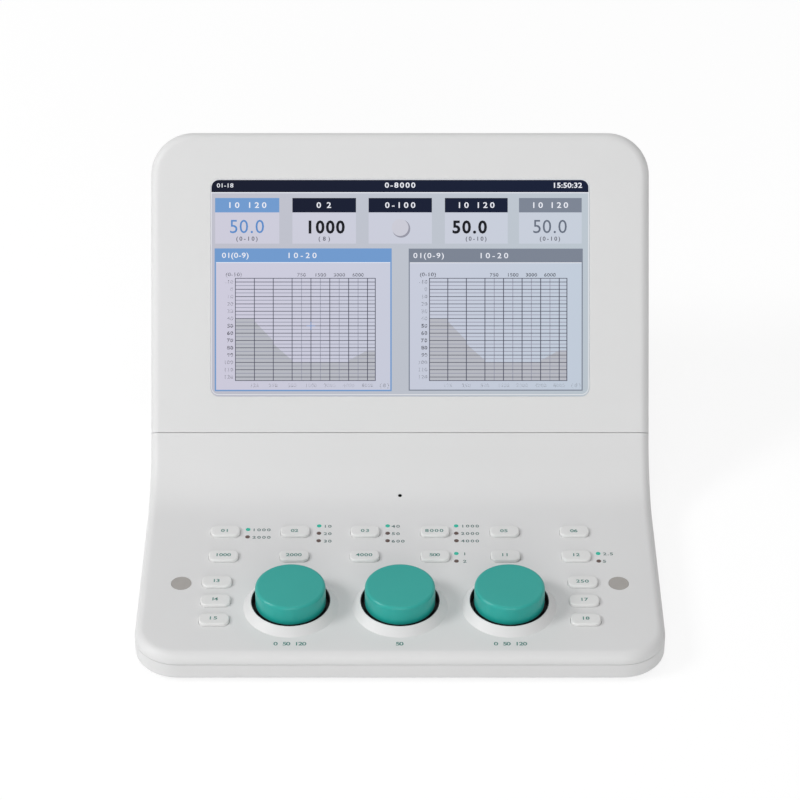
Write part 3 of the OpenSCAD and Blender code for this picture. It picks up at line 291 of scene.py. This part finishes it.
def glyph(c, weight):
    """Points and faces of a numeral of the built-in face, to a height of 1, and its middle."""
    key = (c, weight)
    if key not in glyphs:
        curve = bpy.data.curves.new("numeral", "FONT")
        curve.body = c
        curve.fill_mode = "FRONT"
        curve.resolution_u = 3
        curve.offset = weight
        carrier = bpy.data.objects.new("numeral", curve)
        mesh = bpy.data.meshes.new_from_object(carrier)
        points = [v.co.copy() for v in mesh.vertices]
        polygons = [tuple(p.vertices) for p in mesh.polygons]
        bpy.data.objects.remove(carrier)
        bpy.data.meshes.remove(mesh)
        bpy.data.curves.remove(curve)
        tall = 1.0 if c == "0" else glyph("0", weight)[2]
        if c == "0":
            tall = max(p.y for p in points) - min(p.y for p in points)
        middle = (max(p.x for p in points) + min(p.x for p in points)) / 2
        glyphs[key] = ([((p.x - middle) / tall, p.y / tall) for p in points], polygons, tall)
    return glyphs[key]


def numerals(text, x, y, height, lift, width=None, squeeze=1.05, weight=0.0, align=0.5):
    """Parts of plain numerals from height y up; x is their middle, or with align 1 their right end."""
    cells = [CELLS.get(c, 0.72 * squeeze) * height for c in text]
    total = sum(cells)
    gap = (width - total) / (len(text) - 1) if width and len(text) > 1 else 0
    left = x - (total + gap * (len(text) - 1)) * align
    parts = []
    for c, cell in zip(text, cells):
        if c != " ":
            points, polygons, _ = glyph(c, weight)
            middle = left + cell / 2
            parts.append(([(middle + px * squeeze * height, y + py * height, lift) for px, py in points],
                          polygons))
        left += cell + gap
    return parts


def caption(text, px0, px1, py0, py1, lift, weight=0.02, squeeze=1.2):
    """Numerals that fill a box of the display given in image points."""
    x0, s1 = seen(px0, py0)
    x1, s0 = seen(px1, py1)
    return numerals(text, (x0 + x1) / 2, s0, s1 - s0, lift, x1 - x0, squeeze, weight)


# ---------------------------------------------------------------- display
FACE = -0.08
STEP = 0.008
glass = nodes["touch_panel"]
glass.data.materials.clear()
glass.data.materials.append(lit("display_ground", srgb(192, 192, 204), srgb(188, 198, 207)))

navy = lit("display_navy", srgb(12, 18, 41), srgb(11, 24, 52))
pale = lit("display_pale", srgb(206, 204, 219), srgb(199, 207, 219))
field = lit("display_field", srgb(208, 205, 222), srgb(195, 206, 220))
blue = lit("display_blue", srgb(112, 154, 206))
grey = lit("display_grey", srgb(124, 132, 147))
ink = lit("display_ink", srgb(18, 19, 28))
blue_ink = lit("display_blue_ink", srgb(88, 138, 200))
grey_ink = lit("display_grey_ink", srgb(100, 108, 124))
tag_ink = lit("display_tag_ink", srgb(88, 88, 100))
fine_ink = lit("display_fine_ink", srgb(30, 32, 44))
major = lit("display_major_line", srgb(78, 80, 96))
minor = lit("display_minor_line", srgb(150, 152, 168))
shade = lit("display_shade", srgb(186, 188, 196))
white = lit("display_white", srgb(236, 238, 246))
# painted highlight: the bright line where the edge of the glass catches the light
painted_rim = lit("display_rim_highlight", srgb(232, 233, 236))
disc_dark = lit("display_disc_dark", srgb(150, 150, 164))
disc_light = lit("display_disc_light", srgb(203, 203, 214))


def show(name, parts, material):
    return flat_mesh(name, parts, lambda x, s, lift: on_screen(x, s, FACE + lift), material)


# painted highlight: a glowing bright ring along the edge of the glass, where its edge catches the light;
# and the header with its clock
x0, s1 = seen(211.3, 179.4)
x1, s0 = seen(589.2, 394.9)
CORNER = 4.4
outer = round_points(x0, s0, x1, s1, [CORNER] * 4, STEP)
inner = round_points(x0 + 0.4, s0 + 0.4, x1 - 0.4, s1 - 0.4, [CORNER - 0.4] * 4, STEP)
show("display_edge_highlight", [ring_part(outer, inner)], painted_rim)
_, header_s = seen(400, 192.2)
show("display_header",
     [sheet(round_points(x0 + 0.3, header_s, x1 - 0.3, s1 - 0.3,
                         [0.01, CORNER, CORNER, 0.01], 2 * STEP))], navy)
show("display_header_line", [rect(211.8, 192.2, 588.7, 193.1, 2 * STEP)], white)
show("display_clock",
     caption("15:50:32", 552.6, 582.8, 182.4, 187.7, 3 * STEP, 0.02)
     + caption("0-8000", 385.0, 416.0, 182.2, 187.6, 3 * STEP, 0.02)
     + caption("01-18", 217.0, 234.0, 183.2, 187.4, 3 * STEP, 0.01), white)

# five tiles: place, head, value with its box and weight, caption of the head, range below the value
tiles = [
    (215.5, 279.7, blue, "50.0", (229.3, 265.0), blue_ink, 0.0, "10 120", (227.8, 267.1), (236.7, 258.0)),
    (292.8, 356.4, navy, "1000", (305.6, 345.6), ink, 0.03, "02", (316.7, 331.8), (319.0, 330.4)),
    (369.0, 432.3, navy, None, None, None, 0, "0-100", (385.2, 416.0), None),
    (445.3, 508.1, navy, "50.0", (452.0, 487.8), ink, 0.03, "10 120", (457.4, 495.2), (466.1, 486.9)),
    (519.4, 582.1, grey, "50.0", (532.6, 567.8), grey_ink, 0.0, "10 120", (531.7, 568.8), (540.2, 560.5)),
]
grounds, heads, tags = [], [], []
for i, (px0, px1, head, value, box, colour, weight, title, title_box, tag_box) in enumerate(tiles):
    name = "tile_%d" % (i + 1)
    grounds.append(rect(px0, 212.0, px1, 243.6, STEP))
    show(name + "_head", [rect(px0, 198.0, px1, 212.4, 2 * STEP)], head)
    heads += caption(title, title_box[0], title_box[1], 202.0, 207.8, 3 * STEP, 0.015)
    if value:
        show(name + "_value", caption(value, box[0], box[1], 219.6, 233.0, 2 * STEP, weight, 1.0), colour)
        text = "(8)" if value == "1000" else "(0-10)"
        tags += caption(text, tag_box[0], tag_box[1], 236.4, 240.6, 2 * STEP, 0.015, 1.05)
show("tile_grounds", grounds, pale)
show("tile_captions", heads, white)
show("tile_ranges", tags, tag_ink)


def disc(x, s, r, lift):
    """A round part of the display."""
    return sheet(round_points(x - r, s - r, x + r, s + r, [r - 0.001] * 4, lift, 16))


DISC_R = 5.3
DISC_SHIFT = 0.65
kx, ks = seen(401.6, 228.6)
show("response_disc_rim", [disc(kx, ks, DISC_R, 2 * STEP)], disc_dark)
show("response_disc", [disc(kx - DISC_SHIFT, ks + DISC_SHIFT, DISC_R - 0.35, 3 * STEP)], disc_light)

# two charts: frame, grid, head, border width, first upright line and pitch, captions
LEVELS = [-10 + 10 * i for i in range(14)]
charts = [
    ("left_chart", (215.0, 248.4, 392.1, 391.2), (235.8, 375.7), blue, 1.4, 254.8, 18.85,
     ((222.1, 248.9), (287.1, 317.3)), blue_ink),
    ("right_chart", (409.1, 248.6, 583.1, 390.7), (429.9, 567.3), grey, 1.1, 448.2, 18.57,
     ((413.5, 444.2), (479.2, 508.9)), grey_ink),
]
GRID_TOP, GRID_FOOT = 278.3, 380.6
ROW_PITCH = 7.31
LINE = 0.34
for name, (px0, py0, px1, py1), (g0, g1), head, edge, first, pitch, captions, cursor in charts:
    top, foot = GRID_TOP, GRID_FOOT
    show(name + "_panel", [rect(px0, py0, px1, py1, STEP)], head)
    show(name + "_field", [rect(px0 + edge, py0 + 13.8, px1 - edge, py1 - edge, 2 * STEP)], field)
    show(name + "_underline", [rect(px0 + edge, py0 + 13.8, px1 - edge, py0 + 14.5, 3 * STEP)], white)
    show(name + "_captions",
         caption("01(0-9)", captions[0][0], captions[0][1], py0 + 4.1, py0 + 9.4, 2 * STEP, 0.01)
         + caption("10-20", captions[1][0], captions[1][1], py0 + 4.1, py0 + 9.6, 2 * STEP, 0.01), white)

    def upright(k):
        return first + pitch * k

    hollow = [(g0, 318.5), (upright(0), 318.5), (upright(0) + 0.2, 321.5), (upright(1), 340.6),
              (upright(1) + 0.2, 344.0), (upright(2), 360.3), (upright(2), 362.4), (upright(5), 362.4),
              (upright(5), 360.4), (upright(6), 350.3), (g1, 350.3), (g1, foot), (g0, foot)]
    show(name + "_shade", [sheet([seen(*p) + (3 * STEP,) for p in reversed(hollow)])], shade)
    faint, strong = [], []
    for k in range(13):
        py = 285.6 + ROW_PITCH * k
        faint.append(rect(g0, py - 0.36, g1, py + 0.36, 4 * STEP))
    for k in (2.5, 3.5, 4.5, 5.5):
        faint.append(rect(upright(k) - 0.32, top, upright(k) + 0.32, foot, 4 * STEP))
    for k in range(14):
        py = 282.0 + ROW_PITCH * k
        strong.append(rect(g0, py - LINE, g1, py + LINE, 5 * STEP))
    for k in range(7):
        strong.append(rect(upright(k) - 0.40, top, upright(k) + 0.40, foot, 5 * STEP))
    for px in (g0, g1):
        strong.append(rect(px - 0.4, top - 0.3, px + 0.4, foot + 0.3, 5 * STEP))
    for py in (top, foot):
        strong.append(rect(g0, py - LINE, g1, py + LINE, 5 * STEP))
    show(name + "_faint_lines", faint, minor)
    show(name + "_lines", strong, major)
    fine = []
    for k, level in enumerate(LEVELS):
        lx, ls = seen(g0 - 2.0, 283.7 + ROW_PITCH * k)
        fine += numerals(str(level), lx, ls, 2.3, 2 * STEP, squeeze=1.15, weight=0.035, align=1.0)
    for k, hz in enumerate((125, 250, 500, 1000, 2000, 4000, 8000)):
        lx, ls = seen(upright(k), 387.0)
        fine += numerals(str(hz), lx, ls, 2.1, 2 * STEP, squeeze=1.15, weight=0.02)
    for k, hz in enumerate((750, 1500, 3000, 6000)):
        lx, ls = seen(upright(k + 2.5), 276.5)
        fine += numerals(str(hz), lx, ls, 2.1, 2 * STEP, squeeze=1.15, weight=0.02)
    fine += caption("(0-10)", g0 - 9.5, g0 + 6.3, 272.4, 276.2, 2 * STEP)
    fine += caption("(8)", g1 + 4.6, g1 + 13.6, 383.2, 387.0, 2 * STEP)
    show(name + "_numbers", fine, fine_ink)
    mx, ms = seen(upright(3), 325.9)
    show(name + "_cursor", [box_sheet(mx - 2.6, ms - 0.14, mx + 2.6, ms + 0.14, 6 * STEP),
                            box_sheet(mx - 0.16, ms - 2.4, mx + 0.16, ms + 2.4, 6 * STEP)], cursor)

# ---------------------------------------------------------------- printed marks
INK = 0.03
KEY_RISE = 1.8


def printed(name, parts, material, top=0.0, body="instrument"):
    return flat_mesh(name, parts, lambda x, y, lift: on_deck(x, y, top + lift), material, body)


def mark(text, px0, px1, py, top, height=2.9):
    """Numerals that run between two image columns, with their middle on an image row."""
    x0, y = seen_deck(px0, py, top)
    x1, _ = seen_deck(px1, py, top)
    return numerals(text, (x0 + x1) / 2, y - height / 2, height, INK, x1 - x0, 1.25, 0.02)


# marks on the keys: text, first and last image column, image row
key_marks = {
    "key_back_1": ("01", 221.2, 229.8, 530.4), "key_back_2": ("02", 291.0, 299.0, 530.4),
    "key_back_3": ("03", 361.0, 370.0, 530.4), "key_back_4": ("8000", 425.2, 444.0, 530.4),
    "key_back_5": ("05", 500.2, 508.4, 530.6), "key_back_6": ("06", 570.2, 578.2, 530.6),
    "key_front_1": ("1000", 215.4, 231.6, 554.6), "key_front_2": ("2000", 286.0, 302.4, 554.6),
    "key_front_3": ("4000", 356.0, 373.0, 554.6), "key_front_4": ("500", 429.4, 440.6, 554.6),
    "key_front_5": ("11", 501.0, 509.6, 554.6), "key_front_6": ("12", 572.0, 580.4, 554.6),
    "key_left_3": ("13", 212.6, 220.6, 580.4), "key_left_2": ("14", 211.2, 218.6, 598.8),
    "key_left_1": ("15", 208.6, 218.0, 617.8), "key_right_3": ("250", 576.2, 589.4, 581.0),
    "key_right_2": ("17", 580.2, 588.8, 599.2), "key_right_1": ("18", 581.6, 590.2, 618.0),
}
for key, (text, px0, px1, py) in key_marks.items():
    printed(key + "_mark", mark(text, px0, px1, py, KEY_RISE, 2.7), print_teal, KEY_RISE,
            "body_" + key)

# marks beside the lamps: texts from the top, first image column and widths, first image row
lamp_marks = [
    (("1000", "2000"), 252.6, (18.6, 18.6), 529.8), (("10", "20", "30"), 323.8, (8.4, 8.4, 8.4), 526.2),
    (("40", "50", "600"), 391.8, (8.6, 8.6, 13.4), 526.2),
    (("1000", "2000", "4000"), 461.2, (18.4, 18.4, 18.4), 526.0),
    (("1", "2"), 463.4, (3.4, 3.4), 553.8), (("2.5", "5"), 603.2, (10.6, 3.4), 553.8),
]
rows = []
for texts, px, widths, py in lamp_marks:
    for k, (text, width) in enumerate(zip(texts, widths)):
        rows += mark(text, px, px + width, py + 7.45 * k, 0, 2.5)
printed("lamp_marks", rows, print_grey)

printed("dial_marks",
        mark("0", 274.6, 277.4, 643.6, 0) + mark("50", 282.6, 291.0, 643.6, 0)
        + mark("120", 294.6, 307.0, 643.6, 0) + mark("50", 395.8, 404.2, 643.6, 0)
        + mark("0", 495.0, 497.8, 643.6, 0) + mark("50", 503.0, 511.4, 643.6, 0)
        + mark("120", 515.2, 527.8, 643.6, 0), print_teal)


# ---------------------------------------------------------------- painted shade: dark rings and black disc
DIAL_Y = 41.6


def tube(name, x, inner, outer, z0, z1, body, turns=96):
    """A short black round sleeve about a dial's axis, painted shade for the dark gap round the dial; radii
    and heights in millimetres.
    """
    verts, faces = [], []
    profile = [(inner, z0), (outer, z0), (outer, z1), (inner, z1)]
    for i in range(turns):
        a = 2 * math.pi * i / turns
        verts += [Vector((x * MM + r * MM * math.cos(a),
                          FRONT_Y + DIAL_Y * MM + r * MM * math.sin(a), z * MM))
                  for r, z in profile]
        j = (i + 1) % turns
        for k in range(4):
            n = (k + 1) % 4
            faces.append((4 * i + k, 4 * j + k, 4 * j + n, 4 * i + n))
    mesh = bpy.data.meshes.new(name)
    mesh.from_pydata(verts, [], faces)
    mesh.materials.append(black_plastic)
    piece = bpy.data.objects.new(name, mesh)
    bpy.context.scene.collection.objects.link(piece)
    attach(piece, body)


# a black disc just inside the microphone hole, at right angles to the sweep: painted shade that makes the
# hole dark
SWEEP_R, SWEEP_FOOT = 54.0, 125.0
MIC_ANGLE = math.radians(15.5)
MIC_R = 1.14
MIC_DEPTH = 0.25


def gauze_place(x, y, lift):
    r = SWEEP_R + MIC_DEPTH - lift
    across, rise = math.sin(MIC_ANGLE), math.cos(MIC_ANGLE)
    return Vector((x * MM, FRONT_Y + (SWEEP_FOOT + r * across + y * rise) * MM,
                   DECK_Z + (SWEEP_R - r * rise + y * across) * MM))


HOLE_SHADE_SIDES = 32
turn = 2 * math.pi / HOLE_SHADE_SIDES
rim_points = [(MIC_R * math.cos(turn * k), MIC_R * math.sin(turn * k), 0) for k in range(HOLE_SHADE_SIDES)]
flat_mesh("microphone_hole_shade", [sheet(rim_points)], gauze_place, mic_black_and_shade, "instrument")

# black rings at the edge of each dial opening and below each dial: painted shade that darkens the gap round
# each dial
for side, x in (("left", -60.6), ("centre", 0.0), ("right", 60.6)):
    tube("opening_shade_ring_" + side, x, 21.6, 21.98, 16.3, 22.8, "instrument")
    tube("dial_shade_ring_" + side, x, 19.51, 19.7, 17.7, 22.2, "dial_" + side)

# ---------------------------------------------------------------- stage
def seen_rays(tree):
    """1 for what the camera, a reflection or clear plastic sees, and 0 for light that falls on things."""
    path = tree.nodes.new("ShaderNodeLightPath")
    total = path.outputs["Is Camera Ray"]
    for kind in ("Is Glossy Ray", "Is Transmission Ray"):
        add = tree.nodes.new("ShaderNodeMath")
        add.operation = "ADD"
        add.use_clamp = True
        tree.links.new(total, add.inputs[0])
        tree.links.new(path.outputs[kind], add.inputs[1])
        total = add.outputs[0]
    return total


FLOOR_GLOW = 1.1
GLOW_SHARE = 0.75
bpy.ops.mesh.primitive_plane_add(size=14, location=(0, 0, -0.0002))
floor = bpy.context.object
floor.name = "floor"
m, tree, shader = new_material("floor_white")
shader.inputs["Base Color"].default_value = (0.9, 0.9, 0.9, 1)
shader.inputs["Roughness"].default_value = 0.9
shader.inputs["Specular IOR Level"].default_value = 0.0
glow = tree.nodes.new("ShaderNodeEmission")
glow.inputs["Strength"].default_value = FLOOR_GLOW
share = tree.nodes.new("ShaderNodeMath")
share.operation = "MULTIPLY"
share.inputs[1].default_value = GLOW_SHARE
tree.links.new(seen_rays(tree), share.inputs[0])
mix = tree.nodes.new("ShaderNodeMixShader")
tree.links.new(share.outputs[0], mix.inputs["Fac"])
tree.links.new(shader.outputs[0], mix.inputs[1])
tree.links.new(glow.outputs[0], mix.inputs[2])
tree.links.new(mix.outputs[0], tree.nodes["Material Output"].inputs["Surface"])
floor.data.materials.append(m)

AMBIENT = 0.34
world = bpy.data.worlds.new("world")
bpy.context.scene.world = world
world.use_nodes = True
wt = world.node_tree
spread = wt.nodes.new("ShaderNodeMapRange")
spread.inputs["To Min"].default_value = AMBIENT
spread.inputs["To Max"].default_value = 1.0
wt.links.new(seen_rays(wt), spread.inputs["Value"])
wt.nodes["Background"].inputs["Color"].default_value = (1, 1, 1, 1)
wt.links.new(spread.outputs["Result"], wt.nodes["Background"].inputs["Strength"])


def area(name, place, size, power):
    """A soft lamp, placed in metres, that looks at the set."""
    data = bpy.data.lights.new(name, "AREA")
    data.shape = "RECTANGLE"
    data.size = size[0]
    data.size_y = size[1]
    data.energy = power
    lamp = bpy.data.objects.new(name, data)
    bpy.context.scene.collection.objects.link(lamp)
    lamp.location = place
    lamp.rotation_euler = (Vector((0, 0, 0.05)) - Vector(place)).to_track_quat("-Z", "Y").to_euler()


area("key_lamp", (-3.7, -1.0, 3.1), (1.4, 1.4), 92)
area("front_lamp", (0.0, -3.3, 1.2), (2.4, 1.4), 31)
area("left_lamp", (-3.4, -0.9, 0.5), (0.8, 0.8), 7.5)
area("top_lamp", (0.0, 0.4, 3.4), (2.4, 2.4), 16)

# ---------------------------------------------------------------- camera
cam_data = bpy.data.cameras.new("camera")
SENSOR = 36
cam_data.sensor_width = SENSOR
cam_data.lens = SENSOR * CAM_F / IMAGE
cam_data.clip_start = 0.05
cam = bpy.data.objects.new("camera", cam_data)
bpy.context.scene.collection.objects.link(cam)
cam.location = CAM
cam.rotation_euler = (math.radians(90) - CAM_TILT, 0, 0)
bpy.context.scene.camera = cam
bpy.context.scene.view_settings.view_transform = "Standard"

# soft, even shading of the turned faces, with the edges kept crisp
for name, node in nodes.items():
    weld = node.modifiers.new("weld", "WELD")
    weld.merge_threshold = 0.000002
    split = node.modifiers.new("split", "EDGE_SPLIT")
    split.split_angle = math.radians(28)
    split.use_edge_sharp = False
    faces = node.data.polygons
    faces.foreach_set("use_smooth", [True] * len(faces))
